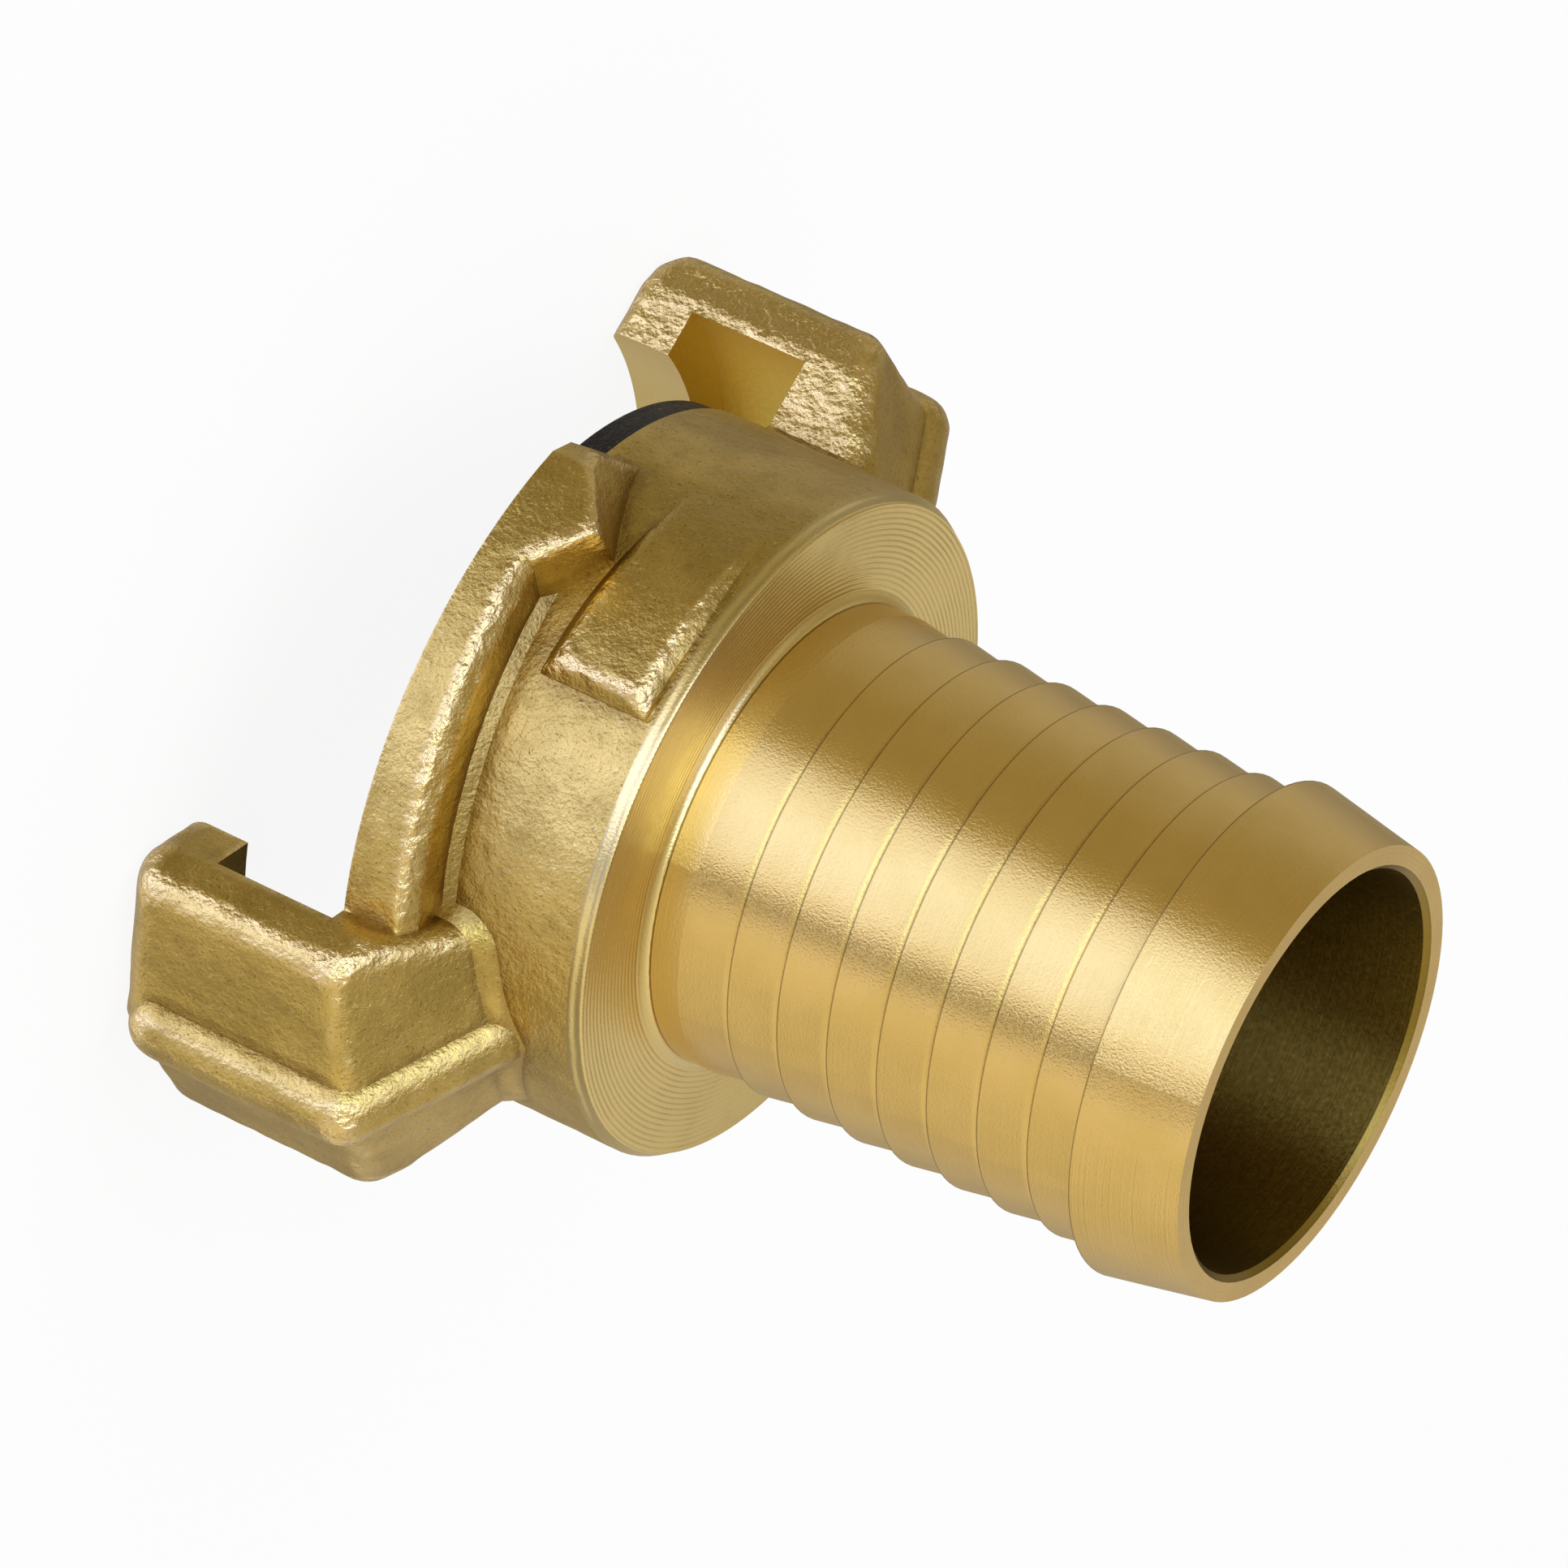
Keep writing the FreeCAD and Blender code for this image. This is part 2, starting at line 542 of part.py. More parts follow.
# Barbs: one ramp cut into the tail, repeated along it
ramp_sketch = new_sketch(coupling, "BarbRamp", "XZ_Plane")
outline(ramp_sketch, [
    ("crest", TAIL_R, BARBS),
    ("foot", f"{TAIL_R} - Dims.barb_depth", RAMP_END),
    ("wall", f"{TAIL_R} + {SPARE}", RAMP_END),
    ("clear", f"{TAIL_R} + {SPARE}", BARBS),
])
ramp = settle(coupling, turned(coupling, "Groove", "BarbCut", ramp_sketch))
barbs = coupling.newObject("PartDesign::LinearPattern", "Barbs")
barbs.Originals = [ramp]
barbs.Direction = (origin_item(coupling, "Z_Axis"), [""])
barbs.Mode = "Spacing"
barbs.setExpression("Offset", "Dims.barb_pitch")
barbs.setExpression("Occurrences", "Dims.barb_count")
settle(coupling, barbs)

# Bore with the seal's seat and the bevel at the tail's mouth
bore_sketch = new_sketch(coupling, "BoreOutline", "XZ_Plane")
outline(bore_sketch, [
    ("axis_low", "0", f"{FRONT} - {SPARE}"),
    ("seat_low", SEAT_R, f"{FRONT} - {SPARE}"),
    ("groove_low", SEAT_R, SEAT_GROOVE),
    ("groove_low_outer", SEAT_GROOVE_R, SEAT_GROOVE),
    ("groove_high_outer", SEAT_GROOVE_R, SEAT_FLOOR),
    ("bore_low", BORE_R, SEAT_FLOOR),
    ("bore_high", BORE_R, f"{MOUTH} - Dims.mouth_edge"),
    ("mouth_edge", f"{BORE_R} + Dims.mouth_edge", MOUTH),
    ("mouth_clear", f"{BORE_R} + Dims.mouth_edge", f"{MOUTH} + {SPARE}"),
    ("axis_high", "0", f"{MOUTH} + {SPARE}"),
])
bore = settle(coupling, turned(coupling, "Groove", "Bore", bore_sketch))

# Seal ring: flange on the front face, spigot in the seat, rib in the undercut, lip towards the other half
seal = new_body("seal_ring")
seal_sketch = new_sketch(seal, "SealSection", "XZ_Plane")
outline(seal_sketch, [
    ("inner_low", SEAL_BORE_R, f"{FRONT} - Dims.seal_flange_thickness"),
    ("lip_inner", f"{LIP_CREST_R} - Dims.seal_lip_width / 2", f"{FRONT} - Dims.seal_lip_height"),
    ("lip_outer", f"{LIP_CREST_R} + Dims.seal_lip_width / 2", f"{FRONT} - Dims.seal_lip_height"),
    ("flange_step", f"{LIP_CREST_R} + Dims.seal_lip_foot / 2", f"{FRONT} - Dims.seal_flange_thickness"),
    ("flange_low", "Dims.seal_flange_diameter / 2", f"{FRONT} - Dims.seal_flange_thickness"),
    ("flange_high", "Dims.seal_flange_diameter / 2", FRONT),
    ("spigot_low", f"{SEAT_R} - Dims.seal_clearance", FRONT),
    ("spigot_high", f"{SEAT_R} - Dims.seal_clearance", f"{SEAT_GROOVE} + Dims.seal_clearance"),
    ("rib_low", f"{SEAT_GROOVE_R} - Dims.seal_clearance", f"{SEAT_GROOVE} + Dims.seal_clearance"),
    ("rib_high", f"{SEAT_GROOVE_R} - Dims.seal_clearance", f"{SEAT_FLOOR} - Dims.seal_clearance"),
    ("inner_high", SEAL_BORE_R, f"{SEAT_FLOOR} - Dims.seal_clearance"),
])
settle(seal, turned(seal, "Revolution", "SealRing", seal_sketch))

# Checks, then one file for each sub-part
doc.recompute()
for item in doc.Objects:
    if any(word in item.State for word in ("Invalid", "Error")):
        raise SystemExit(f"{item.Name} did not build: {item.State}")
for body in (coupling, seal):
    shape = body.Shape
    if shape.isNull() or not shape.isValid() or len(shape.Solids) != 1:
        raise SystemExit(f"{body.Label} is not one valid solid")
    shape.exportStep(f"parts/{body.Label}.step")
    box = shape.optimalBoundingBox(False, False)
    print(body.Label, f"{shape.Volume:.1f} mm3", f"{box.XLength:.2f} x {box.YLength:.2f} x {box.ZLength:.2f}")
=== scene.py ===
import math

import bpy
import numpy as np
from mathutils import Matrix, Vector, noise


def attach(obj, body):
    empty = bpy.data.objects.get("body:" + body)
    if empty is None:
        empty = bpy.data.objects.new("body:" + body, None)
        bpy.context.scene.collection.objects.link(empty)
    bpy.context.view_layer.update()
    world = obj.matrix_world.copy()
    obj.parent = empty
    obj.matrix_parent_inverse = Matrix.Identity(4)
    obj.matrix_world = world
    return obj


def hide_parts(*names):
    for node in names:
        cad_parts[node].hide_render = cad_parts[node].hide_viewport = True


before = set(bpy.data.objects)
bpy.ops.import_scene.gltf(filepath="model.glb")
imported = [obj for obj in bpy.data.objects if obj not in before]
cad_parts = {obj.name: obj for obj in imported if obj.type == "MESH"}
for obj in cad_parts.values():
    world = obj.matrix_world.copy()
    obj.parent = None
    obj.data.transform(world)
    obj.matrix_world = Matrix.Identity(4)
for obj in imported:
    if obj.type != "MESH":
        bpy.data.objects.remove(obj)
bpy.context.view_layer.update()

# Sizes are metres, and millimetres where a name ends in _MM. The frame is the CAD model's: the bore's axis is Z,
# the claw tips stand on z = 0, and the claws lie along +X and -X. Colours are linear RGB.
scene = bpy.context.scene
MM = 0.001
TO_MM = 1 / MM
WHITE = (1, 1, 1)

# ---------------------------------------------------------------- sizes taken over from the CAD model
FRONT_MM = 10.8             # front face of the head
COLLAR_MM = 22.7            # turned face of the collar
COLLAR_EDGE_MM = 22.0       # height at which the collar's turned edge starts
COLLAR_EDGE_R_MM = 17.65    # radius at which it ends
LIP_BACK_MM = 3.8           # back of the lips
LIP_R_MM = 20.0             # inner faces of the lips
RECESS_R_MM = 22.6          # recess behind the lips
BODY_R_MM = 18.1            # the head's round body, which the claws stand on
INSIDE_R_MM = 16.45         # all that is bored lies inside this
SEAT_FLOOR_MM = 15.0        # floor of the seal ring's seat
TAIL_R_MM = 12.5            # crests of the barbs
BARBS_MM = 24.8             # where the first barb's ramp starts
BARB_PITCH_MM = 2.95
BARBS_END_MM = 48.35        # just before the end barb's crest

# ---------------------------------------------------------------- sizes of the finer skin
FORGED, TURNED, BORED, RECESS, EDGE = range(5)      # how a face was made. EDGE is the collar's turned edge.
LONGEST_MM = np.array([0.58, 3.0, 3.0, 3.0, 0.28])  # longest side of a triangle of each of these kinds
SLACK_MM = 0.03             # a point this near a plane or a radius lies on it
FACES_AXIS = -0.8           # least turn of a face towards the bore's axis to count as facing it
FACES_ALONG = 0.9           # the same along Z
SMOOTH_TURN = 0.985         # a side takes the mean of its faces' bows if they agree this well, else their sum
CREASE_MM = 0.31            # a softened crease is about twice as wide
WEAR_MM = 0.9               # distance over which an edge counts as worn
TRIM_TURN = 0.86            # faces of the claws that look this much along Y are trimmed
INNER_CURVE = 0.01          # from this curve down an inner corner keeps the crease of the solid
INNER_SPAN = 0.05           # over this much curve it comes in
EDGE_TURN = (-5, 80)        # the collar edge's normal: degrees above level at its foot, and its turn up to the face
EDGE_POWER = 10             # how late it turns
CHIP_GAIN = 9.0             # chips reach their full height at one over this much curve

# relief of the forged skin: waves per mm, height in mm, place in the noise
SWELL = (0.45, 0.035, (0, 0, 0))
PEEL = (1.15, 0.020, (7, 1, 3))
CHIPS = (1.0, 0.05, (2, 9, 5))

# ---------------------------------------------------------------- sizes of the turned finish
ROOT_WIDTH_MM, ROOT_HEIGHT_MM = 0.8, 0.45           # round corner between collar and tail
ROOT_SINK_MM = 0.01                                 # its ends dip this far into the solid
# The root's line is painted shade along the corner.
ROOT_SHADE_LINE_MM = COLLAR_MM + ROOT_HEIGHT_MM - 0.08    # dark line along its upper end
RING_MM = 0.30              # pitch of the turning marks
HOLLOW_MM = 0.65            # hollow end of each barb's ramp
HOLLOW_SLOPE = 0.42         # how steep it ends


# ---------------------------------------------------------------- the brass body's skin
def add_piece(name, verts, faces):
    """A new object with smooth faces, from points in metres."""
    mesh = bpy.data.meshes.new(name)
    mesh.from_pydata(verts, [], faces)
    mesh.polygons.foreach_set("use_smooth", np.ones(len(faces), bool))
    piece = bpy.data.objects.new(name, mesh)
    scene.collection.objects.link(piece)
    return piece


def read_triangles(node):
    """Welded points (mm), triangles and the three corner normals of each triangle of a CAD node."""
    mesh = node.data
    mesh.calc_loop_triangles()
    count = len(mesh.loop_triangles)
    co = np.empty(len(mesh.vertices) * 3)
    mesh.vertices.foreach_get("co", co)
    tri = np.empty(count * 3, int)
    mesh.loop_triangles.foreach_get("vertices", tri)
    normals = np.empty(count * 9)
    mesh.loop_triangles.foreach_get("split_normals", normals)
    points, weld = np.unique(np.round(co.reshape(-1, 3) * TO_MM, 4), axis=0, return_inverse=True)
    tri = weld.ravel()[tri].reshape(-1, 3)
    whole = (tri[:, 0] != tri[:, 1]) & (tri[:, 1] != tri[:, 2]) & (tri[:, 2] != tri[:, 0])
    return points, tri[whole], normals.reshape(-1, 3, 3)[whole]


def length(vectors):
    return np.linalg.norm(vectors, axis=-1)


def unit(vectors):
    return vectors / np.maximum(length(vectors)[..., None], 1e-12)


def kinds_of(points, tri, normals):
    """How each face was made: as forged, turned, bored or sawn, or turned as the collar's edge."""
    p = points[tri]
    r, z = np.hypot(p[..., 0], p[..., 1]), p[..., 2]
    n = unit(normals.mean(1))
    centre = p.mean(1)
    outward = (centre[:, :2] * n[:, :2]).sum(1) / np.maximum(np.hypot(centre[:, 0], centre[:, 1]), 1e-9)

    def near(values, target):
        return (np.abs(values - target) < SLACK_MM).all(1)

    def above(values, target):
        return (values > target - SLACK_MM).all(1)

    def below(values, target):
        return (values < target + SLACK_MM).all(1)

    kind = np.full(len(tri), FORGED)
    collar = above(z, COLLAR_EDGE_MM) & below(r, BODY_R_MM)
    kind[collar] = TURNED
    kind[collar & above(r, COLLAR_EDGE_R_MM)] = EDGE
    kind[near(r, LIP_R_MM) & (outward < FACES_AXIS)] = TURNED
    kind[near(r, RECESS_R_MM) & (outward < FACES_AXIS)] = RECESS
    kind[near(z, LIP_BACK_MM) & (n[:, 2] > FACES_ALONG)] = RECESS
    kind[near(z, FRONT_MM) & (n[:, 2] < -FACES_ALONG)] = TURNED
    # inside the head: the seat down to its floor, and past it all that turns towards the axis
    kind[below(r, INSIDE_R_MM) & above(z, FRONT_MM) & ((outward < -0.3) | below(z, SEAT_FLOOR_MM))] = BORED
    return kind


def refine(points, tri, normals, kind):
    """Splits the sides that are longer than their faces allow, and rounds each new point with its corner normals."""
    while True:
        low, high = np.sort([tri.ravel(), np.roll(tri, -1, axis=1).ravel()], axis=0)
        sides, index = np.unique(low.astype(np.int64) * len(points) + high, return_inverse=True)
        index = index.ravel()
        ends = points[sides // len(points)], points[sides % len(points)]
        allowed = np.full(len(sides), np.inf)
        np.minimum.at(allowed, index, np.repeat(LONGEST_MM[kind], 3))
        cut = length(ends[0] - ends[1]) > allowed
        if not cut.any():
            return points, tri, normals, kind
        # the bow of each side, from the normals at its ends on either face
        na, nb = normals.reshape(-1, 3), np.roll(normals, -1, axis=1).reshape(-1, 3)
        pa, pb = points[tri.ravel()], points[np.roll(tri, -1, axis=1).ravel()]
        bow = (((pa - pb) * na).sum(1, keepdims=True) * na + ((pb - pa) * nb).sum(1, keepdims=True) * nb) / 8
        middle_normal = unit(na + nb)
        total, turn, faces = np.zeros((len(sides), 3)), np.zeros((len(sides), 3)), np.zeros(len(sides))
        np.add.at(total, index, bow)
        np.add.at(turn, index, middle_normal)
        np.add.at(faces, index, 1)
        smooth = length(turn) > SMOOTH_TURN * faces
        total[smooth] /= np.maximum(faces[smooth], 1)[:, None]
        new = np.full(len(sides), -1)
        new[cut] = len(points) + np.arange(cut.sum())
        points = np.vstack([points, ((ends[0] + ends[1]) / 2 + total)[cut]])
        tri, normals, kind = split_faces(points, tri, normals, kind, new[index].reshape(-1, 3),
                                         middle_normal.reshape(-1, 3, 3))


def split_faces(points, tri, normals, kind, middle, middle_normal):
    """The triangles split at the middles of their sides. A side that stays whole has the middle -1."""
    marked = middle >= 0
    count = marked.sum(1)
    # each part: the triangles that it comes from, and its corners: 0 to 2 for theirs, 3 to 5 for the middles
    parts = [(count == 0, [0, 1, 2])]
    parts += [(count == 3, picks) for picks in ([0, 3, 5], [1, 4, 3], [2, 5, 4], [3, 4, 5])]
    for i in range(3):
        j, k = (i + 1) % 3, (i + 2) % 3
        one = (count == 1) & marked[:, i]
        parts += [(one, [i, 3 + i, k]), (one, [3 + i, j, k])]
        # sides i and j are cut and side k is whole: what is left is split along its shorter diagonal
        two = (count == 2) & ~marked[:, k]
        first = length(points[middle[:, i]] - points[tri[:, k]]) <= length(points[middle[:, j]] - points[tri[:, i]])
        parts += [(two, [3 + i, j, 3 + j]),
                  (two & first, [i, 3 + i, k]), (two & first, [3 + i, 3 + j, k]),
                  (two & ~first, [i, 3 + i, 3 + j]), (two & ~first, [i, 3 + j, k])]
    corners = np.hstack([tri, middle])
    corner_normals = np.concatenate([normals, middle_normal], axis=1)
    return (np.vstack([corners[rows][:, picks] for rows, picks in parts]),
            np.concatenate([corner_normals[rows][:, picks] for rows, picks in parts]),
            np.concatenate([kind[rows] for rows, _ in parts]))


def blur(points, values, weights, size, at):
    """Weighted mean of the values at some points, around each of the places in at, over about twice the given size."""
    low = np.minimum(points.min(axis=0), at.min(axis=0)) - size
    span = np.ceil((np.maximum(points.max(axis=0), at.max(axis=0)) - low) / size).astype(np.int64) + 2

    def cells(places):
        """The eight grid cells around each place, and its share in each."""
        where = (places - low) / size
        cell = np.floor(where).astype(np.int64)
        part = where - cell
        for step in np.ndindex(2, 2, 2):
            key = ((cell[:, 0] + step[0]) * span[1] + cell[:, 1] + step[1]) * span[2] + cell[:, 2] + step[2]
            yield key, np.prod(np.where(step, part, 1 - part), axis=1)

    given = list(cells(points))
    keys, index = np.unique(np.concatenate([key for key, _ in given]), return_inverse=True)
    share = np.concatenate([part * weights for _, part in given])
    weight = np.bincount(index.ravel(), share, len(keys))
    total = [np.bincount(index.ravel(), share * np.tile(column, 8), len(keys)) for column in values.T]
    mean, sums = np.zeros((len(at), values.shape[1])), np.zeros(len(at))
    for key, part in cells(at):
        found = np.minimum(np.searchsorted(keys, key), len(keys) - 1)
        part = np.where(keys[found] == key, part, 0)
        sums += part * weight[found]
        for i, column in enumerate(total):
            mean[:, i] += part * column[found]
    return mean / np.maximum(sums, 1e-12)[:, None]


def face_vectors(points, tri):
    """The normal of each triangle, as long as twice its area."""
    return np.cross(points[tri[:, 1]] - points[tri[:, 0]], points[tri[:, 2]] - points[tri[:, 0]])


def point_normals(points, tri):
    """Area-weighted normal and the area around each point."""
    face = face_vectors(points, tri)
    normal, area = np.zeros(points.shape), np.zeros(len(points))
    for corner in range(3):
        np.add.at(normal, tri[:, corner], face)
        np.add.at(area, tri[:, corner], length(face) / 6)
    return unit(normal), area


def wave(spot, per_mm, height, shift):
    return noise.noise(spot * per_mm + Vector(shift)) * height


def forged_relief(spot, curve):
    """Height of the forged skin over the smooth form, mm. Worn edges are chipped as well."""
    worn = max(0.0, min(1.0, curve * CHIP_GAIN))
    return wave(spot, *SWELL) + wave(spot, *PEEL) + wave(spot, *CHIPS) * worn


def collar_edge_normals(corners):
    """The collar's turned edge is slightly rounded: its normals turn up just below the face."""
    share = (corners[..., 2] - COLLAR_EDGE_MM) / (COLLAR_MM - COLLAR_EDGE_MM)
    up = np.radians(EDGE_TURN[0] + EDGE_TURN[1] * np.clip(share, 0, 1) ** EDGE_POWER)[..., None]
    return unit(corners * (1, 1, 0)) * np.cos(up) + np.array([0, 0, 1]) * np.sin(up)


def skin(name, node):
    """A finer copy of the brass body: the same form, with soft outer edges and the relief of the forged faces."""
    points, tri, normals = read_triangles(node)
    points, tri, normals, kind = refine(points, tri, normals, kinds_of(points, tri, normals))
    forged, edge = kind == FORGED, kind == EDGE
    part = np.zeros(len(points), bool)      # points of the forged faces
    part[tri[forged].ravel()] = True
    free = part.copy()                      # and those that no other face holds
    free[tri[~forged].ravel()] = False
    spots, middle = points[part], points[tri].mean(axis=1)
    size, flat = length(face_vectors(points, tri)), unit(normals.mean(axis=1))
    normal, area = point_normals(points, tri)

    def over_points(values, width):
        """Mean over a width of values that the forged points have."""
        return blur(spots, values, area[part], width, spots)

    def over_faces(values):
        """Mean over a crease of values that the forged faces have."""
        return blur(middle[forged], values[forged], size[forged], CREASE_MM, spots)

    # how convex the skin is around each point: 0 on flats, more on tight edges
    curve, fade, trimmed = np.zeros((3, len(points)))
    curve[part] = -((over_points(spots, WEAR_MM) - spots) * normal[part]).sum(1) / WEAR_MM
    curve[part] = over_points(curve[part, None], CREASE_MM)[:, 0]
    # the claws' sides, where the flash of the forging is trimmed off
    x, y = middle[:, 0], middle[:, 1]
    side = (np.abs(flat[:, 1]) > TRIM_TURN) & (np.abs(x) > BODY_R_MM - 1) & (x * y > 0)
    trimmed[part] = over_faces(side[:, None].astype(float))[:, 0]
    soft = np.zeros(points.shape)
    soft[part] = unit(over_faces(flat))
    # the relief fades out towards the machined faces
    fade[part] = over_points(free[part, None].astype(float), CREASE_MM)[:, 0]
    lift = np.zeros(len(points))
    for i in np.where(free)[0]:
        lift[i] = forged_relief(Vector(points[i]), curve[i])
    points = points + normal * (lift * fade)[:, None]
    tilt = point_normals(points, tri)[0] - normal
    # outer edges get the soft normals, inner corners keep their crease
    inner = np.clip((INNER_CURVE - curve) / INNER_SPAN, 0, 1)[:, None]
    corner = normals.copy()
    corner[forged] = ((soft * (1 - inner))[tri] + normals * inner[tri] + tilt[tri])[forged]
    corner[edge] = collar_edge_normals(points[tri][edge])

    piece = add_piece(name, (points * MM).tolist(), tri.tolist())
    mesh = piece.data
    mesh.polygons.foreach_set("material_index", kind.astype(np.int32))
    # wear holds the convexity, which the forged brass also uses for painted shade in inner corners
    for label, values in (("wear", curve), ("trimmed", trimmed)):
        attribute = mesh.attributes.new(label, "FLOAT", "POINT")
        attribute.data.foreach_set("value", values.astype(np.float32))
    mesh.update()
    mesh.normals_split_custom_set(unit(corner).reshape(-1, 3).tolist())
    mesh.update()
    return piece


def root_fillet():
    """The round corner between the collar and the tail, a lathed ring."""
    around_count, steps = 128, 10
    verts, faces = [], []
    for i in range(steps + 1):
        a = math.pi / 2 * i / steps
        r = TAIL_R_MM - ROOT_SINK_MM + ROOT_WIDTH_MM * (1 - math.sin(a))
        z = COLLAR_MM - ROOT_SINK_MM + ROOT_HEIGHT_MM * (1 - math.cos(a))
        for j in range(around_count):
            t = 2 * math.pi * j / around_count
            verts.append((r * math.cos(t) * MM, r * math.sin(t) * MM, z * MM))
    for i in range(steps):
        for j in range(around_count):
            k = (j + 1) % around_count
            low, high = i * around_count, (i + 1) * around_count
            faces.append((low + j, low + k, high + k, high + j))
    return add_piece("root_fillet", verts, faces)


# ---------------------------------------------------------------- materials
class Nodes:
    """Short calls for building a node tree."""

    def __init__(self, tree):
        self.tree = tree

    def put(self, socket, value):
        if isinstance(value, bpy.types.NodeSocket):
            self.tree.links.new(value, socket)
        elif value is not None:
            socket.default_value = value

    def node(self, kind, **settings):
        node = self.tree.nodes.new(kind)
        for key, value in settings.items():
            setattr(node, key, value)
        return node

    def math(self, operation, a, b=None, c=None):
        node = self.node("ShaderNodeMath", operation=operation)
        for socket, value in zip(node.inputs, (a, b, c)):
            self.put(socket, value)
        return node.outputs[0]

    def noise(self, vector, scale, detail, roughness=0.6):
        node = self.node("ShaderNodeTexNoise")
        self.put(node.inputs["Vector"], vector)
        node.inputs["Scale"].default_value = scale
        node.inputs["Detail"].default_value = detail
        node.inputs["Roughness"].default_value = roughness
        return node.outputs["Fac"]

    def lines(self, across, scale, detail, roughness):
        """Noise along one coordinate only."""
        node = self.node("ShaderNodeTexNoise", noise_dimensions="1D")
        self.put(node.inputs["W"], across)
        node.inputs["Scale"].default_value = scale
        node.inputs["Detail"].default_value = detail
        node.inputs["Roughness"].default_value = roughness
        return node.outputs["Fac"]

    def range(self, value, low, high, out_low=0.0, out_high=1.0):
        """Runs smoothly from out_low to out_high while the value runs from low to high."""
        node = self.node("ShaderNodeMapRange", interpolation_type="SMOOTHSTEP")
        for socket, number in zip(node.inputs, (value, low, high, out_low, out_high)):
            self.put(socket, number)
        return node.outputs[0]

    def mix(self, factor, a, b):
        node = self.node("ShaderNodeMix", data_type="RGBA")
        self.put(node.inputs[0], factor)
        self.put(node.inputs[6], a if isinstance(a, bpy.types.NodeSocket) else (*a, 1))
        self.put(node.inputs[7], b if isinstance(b, bpy.types.NodeSocket) else (*b, 1))
        return node.outputs[2]

    def tint(self, base, mask, share, colour):
        """The base colour, with a share of another colour where the mask is 1."""
        return self.mix(self.math("MULTIPLY", mask, share), base, colour)


class Material(Nodes):
    """A new material with one shader."""

    def __init__(self, name):
        self.material = bpy.data.materials.new(name)
        self.material.use_nodes = True
        super().__init__(self.material.node_tree)
        self.shader = self.tree.nodes["Principled BSDF"]

    def set(self, **values):
        """Sets sockets of the shader, named with _ for a space."""
        for name, value in values.items():
            self.put(self.shader.inputs[name.replace("_", " ")], value)

    def bump(self, height, distance, strength=1.0, normal=None):
        """The normal of a surface with this height, distance in metres."""
        node = self.node("ShaderNodeBump")
        self.put(node.inputs["Strength"], strength)
        node.inputs["Distance"].default_value = distance
        self.put(node.inputs["Height"], height)
        self.put(node.inputs["Normal"], normal)
        return node.outputs[0]

    def place(self):
        """The point in the piece's own frame, in millimetres."""
        coordinates = self.node("ShaderNodeTexCoord")
        scale = self.node("ShaderNodeVectorMath", operation="SCALE")
        self.put(scale.inputs[0], coordinates.outputs["Object"])
        scale.inputs["Scale"].default_value = TO_MM
        return scale.outputs[0]

    def cylinder(self, place):
        """Distance from the bore's axis, and height, mm."""
        split = self.node("ShaderNodeSeparateXYZ")
        self.put(split.inputs[0], place)
        x, y, z = split.outputs
        return self.math("SQRT", self.math("ADD", self.math("MULTIPLY", x, x), self.math("MULTIPLY", y, y))), z

    def turned(self, roughness, anisotropic):
        """A shine that is sharp around the bore's axis and wide across the grooves."""
        tangent = self.node("ShaderNodeTangent", direction_type="RADIAL", axis="Z")
        self.set(Metallic=1.0, Roughness=roughness, Anisotropic=anisotropic, Anisotropic_Rotation=0.25,
                 Tangent=tangent.outputs[0])


def forged_brass():
    """Brass as forged: satin with fine grain, painted glints on it and dull patches, painted shade in inner corners,
    brighter and dented where edges are worn.
    """
    dark, light = (0.44, 0.288, 0.064), (0.58, 0.386, 0.094)
    dull, painted_shade, pit = (0.30, 0.185, 0.038), (0.27, 0.160, 0.035), (0.17, 0.10, 0.022)
    painted_glint, bare = (0.82, 0.60, 0.27), (0.74, 0.52, 0.20)
    m = Material("brass_forged")
    place = m.place()
    # the wear attribute is the skin's convexity: worn edges where it is high, painted shade in inner corners where it
    # is below zero
    curve = m.node("ShaderNodeAttribute", attribute_name="wear").outputs["Fac"]
    trimmed = m.node("ShaderNodeAttribute", attribute_name="trimmed").outputs["Fac"]
    wear = m.math("MAXIMUM", m.range(curve, 0.06, 0.16), m.math("MULTIPLY", m.range(trimmed, 0.3, 0.8), 0.65))
    cloud = m.noise(place, 0.16, 3, 0.55)
    patch = m.noise(place, 0.7, 4)
    dents = m.noise(place, 1.3, 2, 0.5)
    grain = m.noise(place, 3.6, 3)
    speck = m.noise(place, 6.5, 2)
    colour = m.mix(m.range(cloud, 0.35, 0.65), dark, light)
    colour = m.tint(colour, m.range(patch, 0.52, 0.74), 0.40, dull)
    # painted shade: inner corners, where the convexity is below zero, are made darker
    colour = m.tint(colour, m.range(curve, -0.02, -0.12), 0.60, painted_shade)
    colour = m.tint(colour, m.range(speck, 0.58, 0.74), 0.75, pit)
    # painted glints: the grain's peaks are made brighter
    colour = m.tint(colour, m.range(grain, 0.60, 0.80), 0.45, painted_glint)
    colour = m.tint(colour, wear, 0.75, bare)
    normal = m.bump(dents, 0.28 * MM, m.math("MULTIPLY_ADD", wear, 0.75, 0.25))
    normal = m.bump(grain, 0.09 * MM, m.math("MULTIPLY_ADD", wear, 0.35, 0.65), normal)
    normal = m.bump(speck, 0.028 * MM, 0.8, normal)
    roughness = m.math("MULTIPLY_ADD", wear, -0.15, m.range(patch, 0.3, 0.7, 0.29, 0.38))
    m.set(Base_Color=colour, Metallic=1.0, Roughness=roughness, Normal=normal)
    return m.material


